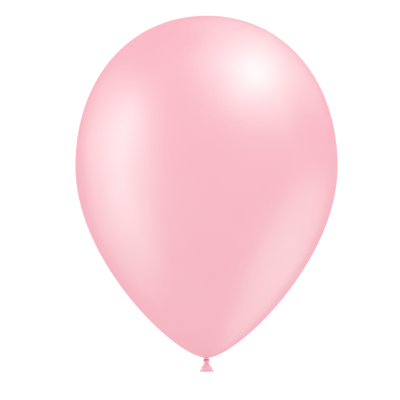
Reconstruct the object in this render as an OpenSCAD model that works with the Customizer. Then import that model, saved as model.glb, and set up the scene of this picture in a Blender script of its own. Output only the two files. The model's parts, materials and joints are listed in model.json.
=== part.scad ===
// Round-top latex party balloon, inflated and tied with an overhand knot.
// The origin is the middle of the neck, between the envelope and the knot, where a ribbon is tied.
// +Z runs up the balloon's axis to the crown. The tail's mouth is widest along X.

/* [Envelope] */
// Diameter of the inflated envelope at its widest
envelope_d = 300; // [200:5:400]
// Height of the envelope from its lower pole to the crown
envelope_h = 391; // [260:0.5:520]
// Height of the widest level, as a share of envelope_h
widest_share = 0.559; // [0.5:0.001:0.6]
// Wall of the stretched skin, drawn thicker than the real film
skin_wall = 0.4; // [0.3:0.05:0.6]

/* [Throat] */
// Wall of the thick, hardly stretched skin round the neck
throat_wall = 1.2; // [0.8:0.1:1.6]
// Height of the gathered ring round the neck, inside the envelope
gather_h = 2.6; // [2:0.1:4]
// Radius of that gathered ring
gather_r = 3.8; // [3.4:0.1:5]

/* [Neck and knot] */
// Radius of the neck between the envelope and the knot
neck_r = 2.3; // [2:0.05:2.5]
// Length of neck that shows above the middle of the neck
neck_drop = 0.7; // [0.6:0.05:1]
// Depth of the knot's centre below the middle of the neck
knot_drop = 2.8; // [2.7:0.05:3]
// Radius of the strand that is wrapped into the knot
strand_r = 1.3; // [1.1:0.05:1.3]
// Radius of the loop's centre line
loop_r = 2.5; // [2.3:0.05:2.5]
// Slope of the loop across the knot, in degrees
loop_tilt = 12; // [0:1:15]

/* [Tail] */
// Depth of the pinch below the knot, where the tail bends
tail_drop = 5.9; // [5.7:0.05:6.2]
// Radius of the strand at that pinch
pinch_r = 1.9; // [1.7:0.05:1.95]
// Length of the tail from the pinch to the lowest point of the lip
tail_length = 9.8; // [8:0.1:30]
// Width of the open mouth over the lip
mouth_width = 16.1; // [14:0.1:24]
// Depth of the open mouth over the lip
mouth_depth = 12; // [10:0.1:18]
// Wall of the unstretched tail
tail_wall = 0.44; // [0.3:0.02:0.46]
// Radius of the rolled lip
lip_r = 0.9; // [0.9:0.05:1.1]

/* [Hidden] */

skin_pink = [0.97, 0.72, 0.77];
thick_pink = [0.94, 0.62, 0.70];

running_gap = 0.05; // between a ball and its seat, and between the neck's stem and its bore
seat_gap = 0.1; // under the flare that keeps the neck in the throat
outline_steps = 44; // straight steps along each of the outline's two curves
throat_steps = 10; // and along the throat's short stretch
round_fn = 96;

// The envelope's outline is two Bezier curves that meet upright at the widest level.
envelope_r = envelope_d / 2;
pole_z = neck_drop;
crown_z = pole_z + envelope_h;
widest_z = pole_z + widest_share * envelope_h;

// The neck's foot is the ball that the knot swings on. Its stem is thinner, so that the knot's cup passes it.
stem_r = neck_r - running_gap;
bore_r = stem_r + running_gap;
cup_r = neck_r + running_gap;
channel_r = 1.1; // the air way that is left down the middle of the neck
flare_z = pole_z + gather_h + seat_gap;
flare_h = 1.2;
flare_r = gather_r - 0.3; // the flare rests on the gathered ring

crown_flatness = 0.587; // how far the crown's handle reaches out, as a share of envelope_r
shoulder_fullness = 0.583; // how far the shoulder's handle reaches up
hip_fullness = 0.488; // how far the hip's handle reaches down
pole_handle = [0.25, 0.011]; // the lower pole's handle, as shares of envelope_r and of the widest height
crown_curve = [
    [0, crown_z],
    [crown_flatness * envelope_r, crown_z],
    [envelope_r, widest_z + shoulder_fullness * (crown_z - widest_z)],
    [envelope_r, widest_z]
];
hip_curve = [
    [envelope_r, widest_z],
    [envelope_r, widest_z - hip_fullness * (widest_z - pole_z)],
    [pole_handle[0] * envelope_r, pole_z + pole_handle[1] * (widest_z - pole_z)],
    [bore_r, pole_z]
];
throat_share = 0.9; // how far down the hip curve the throat takes over from the envelope

// The knot's core runs from the rim of its cup down to the pinch, which is the ball that the tail bends on.
knot_z = -knot_drop;
pinch_z = -tail_drop;
tail_cup_r = pinch_r + running_gap;
cup_rim_z = -1;
belly_r = 2.75;
waist_r = 1.1;
waist_z = pinch_z + 0.8 * pinch_r;

// The tail's levels, as depths below the pinch.
root_top = 0.6;
root_length = 2;
lip_centre = tail_length - lip_r;
lip_sides = 12;
lip_flat = lip_r * cos(180 / lip_sides); // half the lip's height, between its flats
skirt_top = root_top + root_length;
skirt_bottom = lip_centre - lip_flat;
root_half = [2.3, 2.1]; // half width and half depth at the top of the tail
mouth_half = [mouth_width / 2 - lip_r, mouth_depth / 2 - lip_r]; // the same on the lip's centre line
flare = [0.6, 1.2]; // the width opens at once, and the depth towards the mouth
tail_sides = 40;

function bezier(p, t) =
    pow(1 - t, 3) * p[0] + 3 * pow(1 - t, 2) * t * p[1] + 3 * (1 - t) * t * t * p[2] + pow(t, 3) * p[3];

function bezier_slope(p, t) =
    pow(1 - t, 2) * (p[1] - p[0]) + 2 * (1 - t) * t * (p[2] - p[1]) + t * t * (p[3] - p[2]);

// The point on the curve, moved in by depth at right angles to it.
function inside_of(p, t, depth) =
    let (s = bezier_slope(p, t))
    bezier(p, t) + depth * [s[1], -s[0]] / norm(s);

function steps(from, to, count) = [for (i = [0:count]) from + (to - from) * i / count];

function reversed(list) = [for (i = [len(list) - 1:-1:0]) list[i]];

// Half width and half depth of the tail at a depth below the pinch.
function tail_half(depth) =
    let (share = (depth - root_top) / (lip_centre - root_top))
    [for (k = [0, 1]) root_half[k] + (mouth_half[k] - root_half[k]) * pow(share, flare[k])];

// One ring of points round the tail, grown by a margin.
function tail_ring(depth, margin) =
    let (half = tail_half(depth) + [margin, margin])
    [for (i = [0:tail_sides - 1])
        [half[0] * cos(360 * i / tail_sides), half[1] * sin(360 * i / tail_sides), pinch_z - depth]];

// The flat quads between neighbouring rings of a stack, each split in two.
function stack_faces(rings, sides) = [
    for (k = [0:rings - 2], i = [0:sides - 1])
        let (a = k * sides + i, b = k * sides + (i + 1) % sides)
        each [[a, b, a + sides], [b, b + sides, a + sides]]
];

// The same faces, with the last ring joined to the first, so that the stack closes on itself.
function closed_faces(rings, sides) = [
    for (k = [0:rings - 1], i = [0:sides - 1])
        let (n = (k + 1) % rings, j = (i + 1) % sides)
        each [[k * sides + i, n * sides + i, k * sides + j], [k * sides + j, n * sides + i, n * sides + j]]
];

module neck_ball(r) {
    sphere(r = r, $fn = round_fn);
}

module pinch_ball(r) {
    translate([0, 0, pinch_z])
        sphere(r = r, $fn = round_fn);
}

module loop_ring() {
    translate([0, 0, knot_z])
        rotate([0, loop_tilt, 0])
            rotate_extrude($fn = round_fn)
                translate([loop_r, 0])
                    circle(r = strand_r, $fn = round_fn);
}

// The inflated skin: a thin closed shell from the crown down to the throat.
module envelope() {
    crown = steps(0, 1, outline_steps);
    hip = steps(1 / outline_steps, throat_share, outline_steps);
    outside = concat([for (t = crown) bezier(crown_curve, t)], [for (t = hip) bezier(hip_curve, t)]);
    inside = concat(
        [for (t = crown) inside_of(crown_curve, t, skin_wall)],
        [for (t = hip) inside_of(hip_curve, t, skin_wall)]
    );
    color(skin_pink)
        rotate_extrude($fn = round_fn)
            polygon(concat(outside, reversed(inside)));
}

// The thick skin round the neck, gathered into a ring that the neck passes through.
module throat() {
    shares = steps(throat_share, 1, throat_steps);
    outside = [for (t = shares) bezier(hip_curve, t)];
    inner_shares = [for (t = shares) if (bezier(hip_curve, t)[0] > gather_r + throat_wall) t];
    last_share = inner_shares[len(inner_shares) - 1];
    inside = [
        for (t = inner_shares)
            let (grown = (t - throat_share) / (last_share - throat_share))
            inside_of(hip_curve, t, skin_wall + (throat_wall - skin_wall) * grown)
    ];
    ring_top = pole_z + gather_h;
    color(thick_pink)
        rotate_extrude($fn = round_fn)
            polygon(concat(outside, [[bore_r, ring_top], [gather_r, ring_top]], reversed(inside)));
}

// The strand from the throat to the knot: a short tube with a ball at its foot and a flare inside the envelope.
module neck() {
    color(thick_pink)
        difference() {
            union() {
                neck_ball(neck_r);
                cylinder(r = stem_r, h = flare_z + flare_h, $fn = round_fn);
                translate([0, 0, flare_z])
                    cylinder(r1 = stem_r, r2 = flare_r, h = flare_h, $fn = round_fn);
            }
            translate([0, 0, pole_z])
                cylinder(r = channel_r, h = flare_z + flare_h, $fn = round_fn);
        }
}

// The strand through the middle of the knot: a cup round the neck's ball, and the ball at the pinch.
module knot_core() {
    outline = [
        [0, cup_rim_z],
        [belly_r, cup_rim_z],
        [belly_r, knot_z],
        [waist_r, waist_z],
        [waist_r, pinch_z],
        [0, pinch_z]
    ];
    color(thick_pink)
        difference() {
            union() {
                rotate_extrude($fn = round_fn)
                    polygon(outline);
                pinch_ball(pinch_r);
            }
            neck_ball(cup_r);
            loop_ring();
        }
}

// The strand wrapped once round the knot's middle.
module knot_loop() {
    color(thick_pink)
        difference() {
            loop_ring();
            neck_ball(cup_r);
        }
}

// The gathered top of the tail: solid, with a cup round the pinch's ball.
module tail_root() {
    levels = steps(root_top, skirt_top, 5);
    rings = len(levels);
    color(thick_pink)
        difference() {
            polyhedron(
                points = [for (d = levels) each tail_ring(d, tail_wall / 2)],
                faces = concat(
                    stack_faces(rings, tail_sides),
                    [[for (i = [tail_sides - 1:-1:0]) i]],
                    [[for (i = [0:tail_sides - 1]) (rings - 1) * tail_sides + i]]
                )
            );
            pinch_ball(tail_cup_r);
        }
}

// The flared, hollow end of the tail, open at the mouth.
module tail_skirt() {
    levels = steps(skirt_top, skirt_bottom, 8);
    rings = len(levels);
    outside = [for (d = levels) each tail_ring(d, tail_wall / 2)];
    inside = [for (d = reversed(levels)) each tail_ring(d, -tail_wall / 2)];
    color(skin_pink)
        polyhedron(
            points = concat(outside, inside),
            faces = [for (f = closed_faces(2 * rings, tail_sides)) [f[0], f[2], f[1]]]
        );
}

// The bead that the skin's edge is rolled into, all round the mouth.
module rolled_lip() {
    points = [
        for (i = [0:tail_sides - 1])
            let (
                a = 360 * i / tail_sides,
                outward = [mouth_half[1] * cos(a), mouth_half[0] * sin(a)],
                n = outward / norm(outward)
            )
            for (j = [0:lip_sides - 1])
                let (b = 360 * (j + 0.5) / lip_sides)
                [
                    mouth_half[0] * cos(a) + n[0] * lip_r * cos(b),
                    mouth_half[1] * sin(a) + n[1] * lip_r * cos(b),
                    pinch_z - lip_centre + lip_r * sin(b)
                ]
    ];
    color(thick_pink)
        polyhedron(points = points, faces = closed_faces(tail_sides, lip_sides));
}

envelope();
throat();
neck();
knot_core();
knot_loop();
tail_root();
tail_skirt();
rolled_lip();
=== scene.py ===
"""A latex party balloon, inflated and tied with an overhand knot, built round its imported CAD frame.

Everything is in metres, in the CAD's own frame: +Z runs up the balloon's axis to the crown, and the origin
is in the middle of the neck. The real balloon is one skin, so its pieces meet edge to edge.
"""

import json
import math

import bpy
import numpy as np
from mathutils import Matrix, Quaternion, Vector


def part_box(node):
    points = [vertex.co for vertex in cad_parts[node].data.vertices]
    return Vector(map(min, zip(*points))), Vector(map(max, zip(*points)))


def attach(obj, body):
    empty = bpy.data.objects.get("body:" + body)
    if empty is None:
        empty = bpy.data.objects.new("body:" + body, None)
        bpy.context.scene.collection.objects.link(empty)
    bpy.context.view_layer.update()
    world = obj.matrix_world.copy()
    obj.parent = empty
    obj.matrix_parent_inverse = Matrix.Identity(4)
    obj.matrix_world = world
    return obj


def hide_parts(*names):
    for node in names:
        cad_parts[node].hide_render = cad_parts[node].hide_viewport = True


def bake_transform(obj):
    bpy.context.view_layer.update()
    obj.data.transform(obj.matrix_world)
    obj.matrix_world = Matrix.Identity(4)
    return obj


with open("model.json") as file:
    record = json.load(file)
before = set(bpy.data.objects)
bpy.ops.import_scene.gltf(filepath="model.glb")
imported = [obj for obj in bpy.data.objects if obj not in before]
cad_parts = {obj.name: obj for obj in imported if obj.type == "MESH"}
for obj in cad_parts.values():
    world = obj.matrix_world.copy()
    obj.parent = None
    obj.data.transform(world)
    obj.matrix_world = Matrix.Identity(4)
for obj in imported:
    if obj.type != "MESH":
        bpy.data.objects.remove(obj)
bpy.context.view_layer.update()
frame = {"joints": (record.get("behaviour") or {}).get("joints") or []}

MM = 0.001
RNG = np.random.default_rng(12)

# ---------------------------------------------------------------- sizes, from the frame

envelope_lo, envelope_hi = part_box("envelope")
loop_lo, loop_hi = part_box("knot_loop")
lip_lo, lip_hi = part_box("rolled_lip")

ENVELOPE_R = (envelope_hi.x - envelope_lo.x) / 2
CROWN_Z = envelope_hi.z
POLE_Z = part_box("throat")[0].z
WIDEST_SHARE = 0.559  # how far up the envelope its widest level is
WIDEST_Z = POLE_Z + WIDEST_SHARE * (CROWN_Z - POLE_Z)
CROWN_FLATNESS = 0.587  # the outline's handles, as shares of its width and of its height there
SHOULDER_FULLNESS = 0.583
HIP_FULLNESS = 0.488
POLE_HANDLE = (0.25, 0.011)
SKIN_WALL = 0.4 * MM

NECK_R = 2.25 * MM  # the strand between the envelope and the knot
FILLET_R = 4.2 * MM  # where the skin starts to turn down into the strand
GATHER_R = 22 * MM  # in the real balloon the skin inside this radius turns with the neck; make_skin returns the height where its outline comes inside it
NECK_TOP_Z = 0.15 * MM  # the ring where the skin ends and the strand below it starts
NECK_END_Z = -1.3 * MM  # the strand's foot, inside the knot

KNOT_Z = (loop_lo.z + loop_hi.z) / 2
PINCH_Z = next(j["pos_m"][2] for j in frame["joints"] if j["name"] == "tail_fold")

LIP_R = (lip_hi.z - lip_lo.z) / 2
LIP_Z = (lip_hi.z + lip_lo.z) / 2
MOUTH_HALF = np.array([lip_hi.x - lip_lo.x, lip_hi.y - lip_lo.y]) / 2 - LIP_R


# ---------------------------------------------------------------- curves and meshes

def bezier(p, t):
    """Points on a cubic curve. p is its four handles, and t an array of shares from 0 to 1."""
    t = np.asarray(t, float)[:, None]
    return (1 - t) ** 3 * p[0] + 3 * (1 - t) ** 2 * t * p[1] + 3 * (1 - t) * t**2 * p[2] + t**3 * p[3]


def unit(vectors):
    return vectors / np.linalg.norm(vectors, axis=-1, keepdims=True)


def normals_of(points):
    """Unit vectors to the left of a line of (r, z) points, which is outward on a line that runs down."""
    slope = np.gradient(points, axis=0)
    return unit(np.stack([-slope[:, 1], slope[:, 0]], 1))


def turns(count):
    return np.linspace(0, 2 * math.pi, count, endpoint=False)


def band(a, count_a, b, count_b):
    """The faces between two neighbouring rings, of which either may be a single point."""
    if count_a == 1:
        return [(a, b + i, b + (i + 1) % count_b) for i in range(count_b)]
    if count_b == 1:
        return [(a + i, b, a + (i + 1) % count_a) for i in range(count_a)]
    return [(a + i, b + i, b + (i + 1) % count_b, a + (i + 1) % count_a) for i in range(count_a)]


SHARPEST_SMOOTH_ANGLE = math.radians(55)


def mesh_object(name, rings, closed=False):
    """An object from a list of rings of points, each joined to the next. A ring of one point is a pole.
    closed joins the last ring to the first."""
    starts = np.cumsum([0] + [len(r) for r in rings])
    pairs = [(k, k + 1) for k in range(len(rings) - 1)]
    if closed:
        pairs.append((len(rings) - 1, 0))
    faces = []
    for a, b in pairs:
        faces += band(int(starts[a]), len(rings[a]), int(starts[b]), len(rings[b]))
    mesh = bpy.data.meshes.new(name)
    mesh.from_pydata(np.vstack(rings).tolist(), [], faces)
    mesh.validate()
    mesh.shade_smooth()
    mesh.set_sharp_from_angle(angle=SHARPEST_SMOOTH_ANGLE)
    piece = bpy.data.objects.new(name, mesh)
    bpy.context.scene.collection.objects.link(piece)
    return piece


# ---------------------------------------------------------------- the gathers round the neck

SEGMENTS = 288  # round the skin and the neck
ANGLES = turns(SEGMENTS)

RIDGE_COUNT = 44
RIDGE_ANGLES = turns(RIDGE_COUNT) + RNG.uniform(-0.07, 0.07, RIDGE_COUNT)
RIDGE_WIDTHS = RNG.uniform(0.05, 0.10, RIDGE_COUNT)
RIDGE_HEIGHTS = RNG.uniform(0.05, 0.30, RIDGE_COUNT) * MM
RIDGE_EXTRA_REACHES = [0, 0, 3, 8]  # a few ridges run further out, but long ones crease in a twist
RIDGE_REACHES = RNG.uniform(2, 5, RIDGE_COUNT) * MM + RNG.choice(RIDGE_EXTRA_REACHES, RIDGE_COUNT) * MM
SWIRL = 0.5  # how far the knot has wound the gathers round the neck, in radians
SWIRL_REACH = 6 * MM


def gathers(radius):
    """How far the skin stands out of its outline, round the whole ring at this radius: ridges that the knot
    has drawn together, each with its own width, height and length."""
    out_from_neck = max(radius - NECK_R, 0)
    lead = RIDGE_ANGLES + SWIRL * (1 - math.exp(-out_from_neck / SWIRL_REACH))
    off = (ANGLES[:, None] - lead + math.pi) % (2 * math.pi) - math.pi
    height = RIDGE_HEIGHTS * np.exp(-((out_from_neck / RIDGE_REACHES) ** 1.5))
    ridge = (height * np.exp(-((off / RIDGE_WIDTHS) ** 2))).sum(1)
    return ridge - ridge.mean()


def revolved(point, normal, depth=0.0):
    """One ring of the skin from an (r, z) point of the outline, pushed in by depth, with its gathers."""
    out = gathers(point[0]) - depth
    r = np.maximum(point[0] + normal[0] * out, 0.2 * MM)
    z = point[1] + normal[1] * out
    return np.stack([r * np.cos(ANGLES), r * np.sin(ANGLES), z], 1)


# ---------------------------------------------------------------- the inflated skin

CROWN_ROWS = 48
SIDE_ROWS = 150
ROW_CROWDING = 2.2  # over 1, the rows are closer together towards the pole, where the skin twists
FILLET_ROWS = 18
FILLET_SLOPE = 0.06
NECK_ROWS = 20


def outline():
    """The skin's outline from the crown to the strand, as (r, z) points: two curves that meet upright at
    the widest level, and a small round where the skin turns down."""
    r, top, wide, pole = ENVELOPE_R, CROWN_Z, WIDEST_Z, POLE_Z
    above, below = top - wide, wide - pole
    shoulder = [r, wide + SHOULDER_FULLNESS * above]
    crown = np.array([[0, top], [CROWN_FLATNESS * r, top], shoulder, [r, wide]])
    foot = [POLE_HANDLE[0] * r, pole + POLE_HANDLE[1] * below]
    hip = np.array([[r, wide], [r, wide - HIP_FULLNESS * below], foot, [NECK_R, pole]])
    shares = 1 - np.linspace(1, 0, SIDE_ROWS) ** ROW_CROWDING
    side = bezier(hip, shares)[1:]
    side = side[side[:, 0] > FILLET_R]
    start = side[-1]
    corner = np.array([NECK_R, start[1] - FILLET_SLOPE * (start[0] - NECK_R)])
    end = np.array([NECK_R, NECK_TOP_Z])
    t = np.linspace(0, 1, FILLET_ROWS)[1:, None]
    fillet = (1 - t) ** 2 * start + 2 * (1 - t) * t * corner + t**2 * end
    return np.vstack([bezier(crown, np.linspace(0, 1, CROWN_ROWS)), side, fillet])


def make_skin():
    """The whole inflated skin with its inner face, from the crown down to the top of the strand."""
    line = outline()
    across = normals_of(line)
    across[-1] = (1, 0)
    rows = range(1, len(line))
    inner_rows = [len(line) - 1, *range(len(line) - 3, 0, -2)]
    outside = [np.array([[0, 0, CROWN_Z]])] + [revolved(line[i], across[i]) for i in rows]
    inside = [revolved(line[i], across[i], SKIN_WALL) for i in inner_rows]
    inside.append(np.array([[0, 0, CROWN_Z - SKIN_WALL]]))
    turning = line[(line[:, 0] < GATHER_R) & (line[:, 1] < WIDEST_Z)]
    return mesh_object("balloon_skin", outside + inside), turning[0, 1]


def make_neck():
    """The strand under the skin, which runs into the knot."""
    rings = [np.array([[0, 0, NECK_TOP_Z]])]
    for share in np.sin(np.linspace(0, math.pi / 2, NECK_ROWS)[:-1]):
        ring = revolved((NECK_R, NECK_TOP_Z + (NECK_END_Z - NECK_TOP_Z) * share), (1.0, 0.0))
        ring[:, :2] *= math.sqrt(1 - share**3)
        rings.append(ring)
    rings.append(np.array([[0, 0, NECK_END_Z]]))
    return mesh_object("neck_strand", rings)


# ---------------------------------------------------------------- the knot

KNOT_POINTS = 110
KNOT_STEPS = 1100
LOOSE_REACH = 12.0  # how far the strand's ends are from the knot's middle at first, in its own thickness
TIGHT_REACH = 2.2  # and when it is tight
KNOT_HALF_TALL = 0.72  # the space that the strand's centre line is pressed into
KNOT_ROUND_R = 1.22


def resample(line, count):
    """The same line with its points evenly spread, and its length."""
    along = np.r_[0, np.cumsum(np.linalg.norm(np.diff(line, axis=0), axis=1))]
    at = np.linspace(0, along[-1], count)
    return np.stack([np.interp(at, along, line[:, k]) for k in range(3)], 1), along[-1]


def loose_overhand():
    """A loose overhand knot on an upright strand, from a cubic, a quartic and a quintic."""
    t = np.linspace(-2.35, 2.35, 200)
    knot = np.stack([(t**5 - 10 * t) / 4, t**4 - 4 * t**2, 3 * t - t**3], 1)
    return np.vstack([[0, 0, LOOSE_REACH], knot, [0, 0, -LOOSE_REACH]])


def push_apart(line, skip):
    """Moves points of the strand that are closer than its thickness, 1, away from each other."""
    apart = line[:, None] - line[None]
    distance = np.linalg.norm(apart, axis=2)
    index = np.arange(len(line))
    touching = (abs(index[:, None] - index[None]) > skip) & (distance < 1.0)
    share = np.where(touching, 0.5 * (1.0 - distance) / np.maximum(distance, 1e-6), 0)
    move = (apart * share[:, :, None]).sum(1) / np.sqrt(np.maximum(touching.sum(1), 1))[:, None]
    size = np.linalg.norm(move, axis=1)
    return line + 0.8 * move * np.minimum(1, 0.1 / np.maximum(size, 1e-9))[:, None]


def press(line, half_tall, round_r):
    """Presses the middle of the strand back into a drum."""
    inner = line[len(line) // 8 : -len(line) // 8]
    inner[:, 2] += 0.5 * (np.clip(inner[:, 2], -half_tall, half_tall) - inner[:, 2])
    out = np.linalg.norm(inner[:, :2], axis=1)
    inner[:, :2] *= (1 + 0.3 * (np.minimum(out, round_r) / np.maximum(out, 1e-6) - 1))[:, None]


def tight_overhand():
    """The knot pulled tight: the strand shortens, can't pass through itself, and packs into a short drum,
    as soft latex does. Its thickness is 1."""
    line, length = resample(loose_overhand(), KNOT_POINTS)
    for step in range(KNOT_STEPS):
        pulled = min(1, 2.2 * step / KNOT_STEPS)
        pressed = min(1, max(0, 2.5 * step / KNOT_STEPS - 1))
        end = LOOSE_REACH + (TIGHT_REACH - LOOSE_REACH) * pulled
        line[1:-1] += 0.5 * (0.5 * (line[:-2] + line[2:]) - line[1:-1])
        line, length = resample(line, KNOT_POINTS)
        skip = math.ceil(1.3 * KNOT_POINTS / length)
        for _ in range(3):
            line = push_apart(line, skip)
            if pressed:
                press(line, 2 + (KNOT_HALF_TALL - 2) * pressed, 4 + (KNOT_ROUND_R - 4) * pressed)
            line[0], line[-1] = (0, 0, end), (0, 0, -end)
    return line


def rotation_frames(line):
    """Two crosswise unit vectors along a line, turned as little as can be."""
    tangent = unit(np.gradient(line, axis=0))
    side = np.zeros_like(line)
    side[0] = unit(np.cross(tangent[0], (0, 1, 0)))
    for i in range(1, len(line)):
        side[i] = unit(side[i - 1] - tangent[i] * np.dot(side[i - 1], tangent[i]))
    return side, np.cross(tangent, side)


STRAND_D = 2.15 * MM
KNOT_SPREAD = np.array([-2.5, 2.2, 1.7]) * MM  # the knot packs wider and shorter than its strand is thick
STRAND_FAT = 1.1  # how far the strand bulges into its neighbours, as a share of its thickness
STRAND_END_R = 1.4 * MM
KNOT_SINK = 0.35 * MM  # the knot hangs a little below the CAD's loop
KNOT_LEAN = 0.11  # and its higher side leans down, so that it clears the skin as it swings
STRAND_SIDES = 64
STRAND_ROWS = 300
STRAND_END_SHARE = 0.075  # how much of its length each end takes to reach full thickness
SHOWN_TOP_Z = -0.25 * MM  # above this the strand is hidden in the neck
CREASES = ((5, 0.045), (8, 0.045), (13, 0.03))  # waves round the strand, and their height over its r


def make_knot():
    """The overhand knot itself: one creased strand, drawn tight."""
    line = tight_overhand()
    for _ in range(4):
        line[1:-1] += 0.25 * (line[:-2] + line[2:] - 2 * line[1:-1])
    line = resample(line, STRAND_ROWS)[0][:, (1, 0, 2)] * KNOT_SPREAD + (0, 0, KNOT_Z - KNOT_SINK)
    line[:, 2] -= KNOT_LEAN * line[:, 0]
    shown = np.flatnonzero((line[:, 2] < SHOWN_TOP_Z) & (line[:, 2] > PINCH_Z - 0.1 * MM))
    line = line[shown[0] : shown[-1] + 1]
    side, other = rotation_frames(line)
    around = turns(STRAND_SIDES)
    phases = RNG.uniform(0, 2 * math.pi, len(CREASES))
    drift = RNG.uniform(-6, 6, len(CREASES))
    rings = [line[:1]]
    for i, point in enumerate(line):
        share = i / (len(line) - 1)
        crease = sum(h * np.cos(n * around + p + d * share) for (n, h), p, d in zip(CREASES, phases, drift))
        thick = STRAND_FAT * STRAND_D / 2
        end = math.exp(-((min(share, 1 - share) / STRAND_END_SHARE) ** 2))
        r = (thick + (STRAND_END_R - thick) * end) * (1 + crease + 0.03 * math.sin(17 * share))
        outward = np.cos(around)[:, None] * side[i] + np.sin(around)[:, None] * other[i]
        rings.append(point + r[:, None] * outward)
    rings.append(line[-1:])
    return mesh_object("overhand_knot", rings)


# ---------------------------------------------------------------- the tail

TAIL_SIDES = 200
TAIL_ROWS = 60
TAIL_INSIDE_FROM = 0.2  # the tail is hollow below this share of its length
TAIL_DOME = 0.7 * MM  # how high its rounded top stands
TAIL_ANGLES = turns(TAIL_SIDES)
TAIL_TOP_Z = PINCH_Z + 0.9 * MM
TAIL_WALL = 0.35 * MM
TAIL_CURVES = np.array([  # handles for its half width, half depth and height, from the pinch to the lip
    [1.6 * MM, 1.5 * MM, TAIL_TOP_Z],
    [1.4 * MM, 1.4 * MM, PINCH_Z - 0.6 * MM],
    [0.85 * MOUTH_HALF[0], 0.6 * MOUTH_HALF[1], PINCH_Z - 2.4 * MM],
    [*MOUTH_HALF, LIP_Z],
])
TAIL_RIDGES = 26
TAIL_RIDGE_ANGLES = turns(TAIL_RIDGES) + RNG.uniform(-0.08, 0.08, TAIL_RIDGES)
TAIL_RIDGE_WIDTHS = RNG.uniform(0.06, 0.13, TAIL_RIDGES)
TAIL_RIDGE_HEIGHTS = RNG.uniform(0.1, 0.4, TAIL_RIDGES) * MM
TAIL_RIDGE_REACHES = RNG.uniform(0.15, 0.8, TAIL_RIDGES)  # as shares of the tail's length
MOUTH_SAG = 0.35 * MM  # how far the mouth's two ends hang below its middle


def tail_ring(share, inset=0.0):
    """One ring of the tail's skin, from its top, share 0, to the middle of the lip, share 1, with the folds
    that the knot has drawn into it."""
    half_width, half_depth, z = bezier(TAIL_CURVES, [share])[0]
    off = (TAIL_ANGLES[:, None] - TAIL_RIDGE_ANGLES + math.pi) % (2 * math.pi) - math.pi
    height = TAIL_RIDGE_HEIGHTS * np.exp(-((share / TAIL_RIDGE_REACHES) ** 2)) * min(1, 0.5 + 3 * share)
    folds = (height * np.exp(-((off / TAIL_RIDGE_WIDTHS) ** 2))).sum(1)
    wander = 0.14 * np.cos(3 * TAIL_ANGLES + 1.0) + 0.09 * np.cos(5 * TAIL_ANGLES - 0.4)
    out = folds - folds.mean() + share * MM * wander - inset
    x = (half_width + out) * np.cos(TAIL_ANGLES)
    y = (half_depth + out) * np.sin(TAIL_ANGLES)
    sag = MOUTH_SAG * share**3 * (0.5 - np.cos(TAIL_ANGLES) ** 2)
    return np.stack([x, y, z + sag], 1)


def make_tail():
    """The tail's skin, from the pinch to the lip, with its inner face."""
    first = tail_ring(0)
    dome = []
    for lean in np.linspace(math.pi / 2, 0, 7)[:-1]:
        ring = first * (math.cos(lean), math.cos(lean), 1) + (0, 0, TAIL_DOME * math.sin(lean))
        dome.append(ring if dome else ring[:1])
    shares = np.linspace(0, 1, TAIL_ROWS)
    outside = [tail_ring(s) for s in shares]
    inside = [tail_ring(s, TAIL_WALL) for s in shares[shares > TAIL_INSIDE_FROM][::-1]]
    return mesh_object("tail_skin", [*dome, *outside, *inside, inside[-1].mean(0)[None]])


LIP_SIDES = 36


def make_lip():
    """The bead that the skin's edge is rolled into, with the step where the roll ends."""
    around = turns(LIP_SIDES)
    edge = tail_ring(1.0)
    tangent = unit(np.roll(edge, -1, 0) - np.roll(edge, 1, 0))
    outward = unit(np.cross(tangent, (0, 0, 1)))
    up = np.cross(outward, tangent)
    rings = []
    for i, centre in enumerate(edge):
        a = TAIL_ANGLES[i]
        fat = LIP_R * (0.97 + 0.02 * math.sin(5 * a) + 0.012 * math.sin(13 * a + 1))
        step = 0.07 * np.exp(-(((around - 2.45) / 0.2) ** 2))
        groove = 0.04 * np.exp(-(((around - 5.4) / 0.16) ** 2))
        roll = 1 - step - groove
        r = (fat * roll)[:, None]
        rings.append(centre + r * (np.cos(around)[:, None] * outward[i] + np.sin(around)[:, None] * up[i]))
    return mesh_object("lip_bead", rings, closed=True)


# ---------------------------------------------------------------- materials

def noise(tree, coordinates, scale, detail):
    """A noise texture's value on these coordinates."""
    texture = tree.nodes.new("ShaderNodeTexNoise")
    texture.inputs["Scale"].default_value = scale
    texture.inputs["Detail"].default_value = detail
    tree.links.new(coordinates, texture.inputs["Vector"])
    return texture.outputs["Fac"]


def spread(tree, value, low, high, to_low=0.0, to_high=1.0):
    """The value carried from low..high to to_low..to_high."""
    mapping = tree.nodes.new("ShaderNodeMapRange")
    for name, number in (("From Min", low), ("From Max", high), ("To Min", to_low), ("To Max", to_high)):
        mapping.inputs[name].default_value = number
    tree.links.new(value, mapping.inputs["Value"])
    return mapping.outputs["Result"]


MATT_BELOW = 0.75  # the powder on the skin dulls the gloss where the cosine of the angle of view is less
FULL_GLOSS = 0.5
FOURTH_POWER_BLEND = 0.875  # makes the layer weight's Facing 1 - cos(angle)^4
ROUGHNESS_WANDER = 0.04
RELIEF_DEPTH = 0.05 * MM
SUBSURFACE_RADIUS = (1.0, 0.4, 0.4)
SUBSURFACE_DEPTH = 0.8 * MM
LATEX_IOR = 1.5


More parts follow.
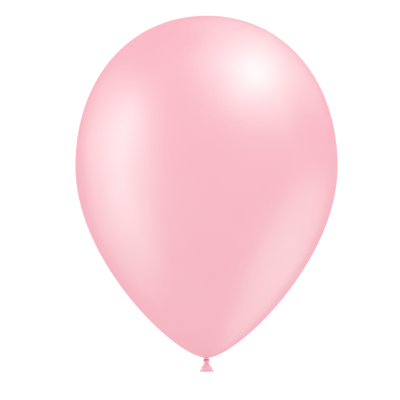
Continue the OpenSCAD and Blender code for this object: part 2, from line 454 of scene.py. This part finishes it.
def latex(name, colour, deep, roughness, cloud_scale, grain_scale, relief, subsurface):
    """Dipped latex: a pastel skin, clouded where it is thicker, with a soft gloss under fine powder."""
    material = bpy.data.materials.new(name)
    material.use_nodes = True
    tree = material.node_tree
    shader = tree.nodes["Principled BSDF"]
    place = tree.nodes.new("ShaderNodeTexCoord").outputs["Object"]

    clouds = spread(tree, noise(tree, place, cloud_scale, 3), 0.35, 0.75)
    mix = tree.nodes.new("ShaderNodeMix")
    mix.data_type = "RGBA"
    mix.inputs["A"].default_value = (*colour, 1)
    mix.inputs["B"].default_value = (*deep, 1)
    tree.links.new(clouds, mix.inputs["Factor"])
    tree.links.new(mix.outputs["Result"], shader.inputs["Base Color"])

    powder = noise(tree, place, grain_scale, 4)
    rough = spread(tree, powder, 0, 1, roughness - ROUGHNESS_WANDER, roughness + ROUGHNESS_WANDER)
    tree.links.new(rough, shader.inputs["Roughness"])

    aslant = tree.nodes.new("ShaderNodeLayerWeight")
    aslant.inputs["Blend"].default_value = FOURTH_POWER_BLEND
    gloss = spread(tree, aslant.outputs["Facing"], 1 - MATT_BELOW**4, 1, FULL_GLOSS, 0)
    tree.links.new(gloss, shader.inputs["Specular IOR Level"])

    bump = tree.nodes.new("ShaderNodeBump")
    bump.inputs["Strength"].default_value = relief
    bump.inputs["Distance"].default_value = RELIEF_DEPTH
    tree.links.new(powder, bump.inputs["Height"])
    tree.links.new(bump.outputs["Normal"], shader.inputs["Normal"])

    shader.inputs["Subsurface Weight"].default_value = subsurface
    shader.inputs["Subsurface Radius"].default_value = SUBSURFACE_RADIUS
    shader.inputs["Subsurface Scale"].default_value = SUBSURFACE_DEPTH
    shader.inputs["IOR"].default_value = LATEX_IOR
    return material


# ---------------------------------------------------------------- assembly

def dress(piece, material, slot, *nodes):
    piece.data.materials.append(material)
    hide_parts(*nodes)


# name, colour, colour in the clouds, roughness, cloud and grain scales, relief, subsurface
stretched = latex("stretched_latex", (0.93, 0.470, 0.546), (0.925, 0.45, 0.531), 0.34, 14, 420, 0.15, 0.0)
gathered = latex("gathered_latex", (0.93, 0.49, 0.565), (0.92, 0.46, 0.54), 0.37, 400, 2600, 0.3, 0.1)
unstretched = latex("tail_latex", (0.93, 0.49, 0.565), (0.92, 0.46, 0.54), 0.37, 300, 2600, 0.3, 0.1)

skin, skin_turn_z = make_skin()
dress(skin, stretched, "stretched_latex", "envelope", "throat")
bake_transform(skin)

neck = make_neck()
dress(neck, gathered, "gathered_latex", "neck")
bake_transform(neck)

knot = make_knot()
dress(knot, gathered, "gathered_latex", "knot_core", "knot_loop")
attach(knot, "knot")

tail = make_tail()
dress(tail, unstretched, "tail_latex", "tail_root", "tail_skirt")
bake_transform(tail)

lip = make_lip()
dress(lip, unstretched, "tail_latex", "rolled_lip")
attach(lip, "tail")


# ---------------------------------------------------------------- studio

FLOOR_Z = -1.7
FLOOR_R = 6.0
FLOOR_SIDES = 96
FLOOR_COLOUR = (0.92, 0.92, 0.92, 1)
FLOOR_ROUGHNESS = 0.9
WORLD_STRENGTH = 1.04
CAMERA_DISTANCE = 2.4
CAMERA_X = -0.0074
CAMERA_Z = 0.1811
VIEW_WIDTH = 0.4584  # how wide a strip the picture shows, at the balloon's axis
LIGHT_DISTANCE = 1.2
GLOSS_COLOUR = (0.3, 1.0, 0.85)  # cool, because the skin's own red is already nearly full


def make_floor():
    """A plain pale floor, well below the floating balloon."""
    around = turns(FLOOR_SIDES)
    circle = np.stack([np.cos(around), np.sin(around), np.zeros(FLOOR_SIDES)], 1)
    centre = np.array([[0, 0, FLOOR_Z]])
    floor = mesh_object("studio_floor", [centre, circle * FLOOR_R / 2 + centre, circle * FLOOR_R + centre])
    paint = bpy.data.materials.new("studio_floor")
    paint.use_nodes = True
    shader = paint.node_tree.nodes["Principled BSDF"]
    shader.inputs["Base Color"].default_value = FLOOR_COLOUR
    shader.inputs["Roughness"].default_value = FLOOR_ROUGHNESS
    shader.inputs["Specular IOR Level"].default_value = 0
    floor.data.materials.append(paint)


def make_world():
    """An even white light from all round."""
    world = bpy.data.worlds.new("studio")
    bpy.context.scene.world = world
    world.use_nodes = True
    world.cycles.sampling_method = "NONE"
    background = world.node_tree.nodes["Background"]
    background.inputs["Color"].default_value = (1, 1, 1, 1)
    background.inputs["Strength"].default_value = WORLD_STRENGTH


def fade_to_rim(lamp, falloff):
    """Makes a lamp brightest in its middle. falloff is the power by which it fades towards its rim."""
    lamp.use_nodes = True
    tree = lamp.node_tree
    place = tree.nodes.new("ShaderNodeNewGeometry").outputs["Parametric"]
    from_middle = tree.nodes.new("ShaderNodeVectorMath")
    from_middle.operation = "DISTANCE"
    from_middle.inputs[1].default_value = (0.5, 0.5, 0)
    tree.links.new(place, from_middle.inputs[0])
    power = tree.nodes.new("ShaderNodeMath")
    power.operation = "POWER"
    power.inputs[1].default_value = falloff
    tree.links.new(spread(tree, from_middle.outputs["Value"], 0.5, 0, 0, 1), power.inputs[0])
    tree.links.new(power.outputs["Value"], tree.nodes["Emission"].inputs["Strength"])


def softbox(name, direction, half_size, turn, radiance, falloff):
    """An oval soft light, aimed at the balloon's middle, that only the gloss sees. turn is in degrees."""
    lamp = bpy.data.lights.new(name, "AREA")
    lamp.shape = "ELLIPSE"
    lamp.color = GLOSS_COLOUR
    lamp.size, lamp.size_y = 2 * half_size[0], 2 * half_size[1]
    lamp.energy = radiance * math.pi * (math.pi * half_size[0] * half_size[1])
    fade_to_rim(lamp, falloff)
    holder = bpy.data.objects.new(name, lamp)
    bpy.context.scene.collection.objects.link(holder)
    towards = Vector(direction).normalized()
    holder.location = Vector((0, 0, WIDEST_Z)) + towards * LIGHT_DISTANCE
    holder.rotation_mode = "QUATERNION"
    about_axis = Quaternion((0, 0, 1), math.radians(turn))
    holder.rotation_quaternion = (-towards).to_track_quat("-Z", "Y") @ about_axis
    holder.visible_diffuse = False
    holder.visible_camera = False
    lamp.cycles.use_multiple_importance_sampling = False  # else part of it lights the diffuse colour


def make_camera():
    """A long lens, level with the middle of the balloon."""
    data = bpy.data.cameras.new("camera")
    data.lens = data.sensor_width * CAMERA_DISTANCE / VIEW_WIDTH
    data.clip_end = 60
    camera = bpy.data.objects.new("camera", data)
    camera.location = (CAMERA_X, -CAMERA_DISTANCE, CAMERA_Z)
    camera.rotation_euler = (math.pi / 2, 0, 0)
    bpy.context.scene.collection.objects.link(camera)
    bpy.context.scene.camera = camera


make_floor()
make_world()
softbox("back_softbox", (0.468, 0.457, 0.756), (0.852, 1.140), 57.8, 7.56, 0.80)
softbox("upper_softbox", (0.487, -0.255, 0.836), (1.210, 1.002), 4.4, 5.73, 0.43)
softbox("crown_softbox", (0.519, -0.306, 0.798), (0.466, 1.081), 111.8, 8.36, 1.72)
softbox("left_softbox", (-0.977, -0.063, -0.204), (1.469, 1.219), 29.9, 6.88, 0.71)
softbox("left_strip", (-0.912, 0.084, 0.401), (1.600, 0.520), 5.9, 5.22, 0.61)
softbox("right_softbox", (0.751, 0.304, -0.586), (0.905, 0.991), 25.4, 5.96, 0.61)
make_camera()
bpy.context.scene.view_settings.view_transform = "Standard"
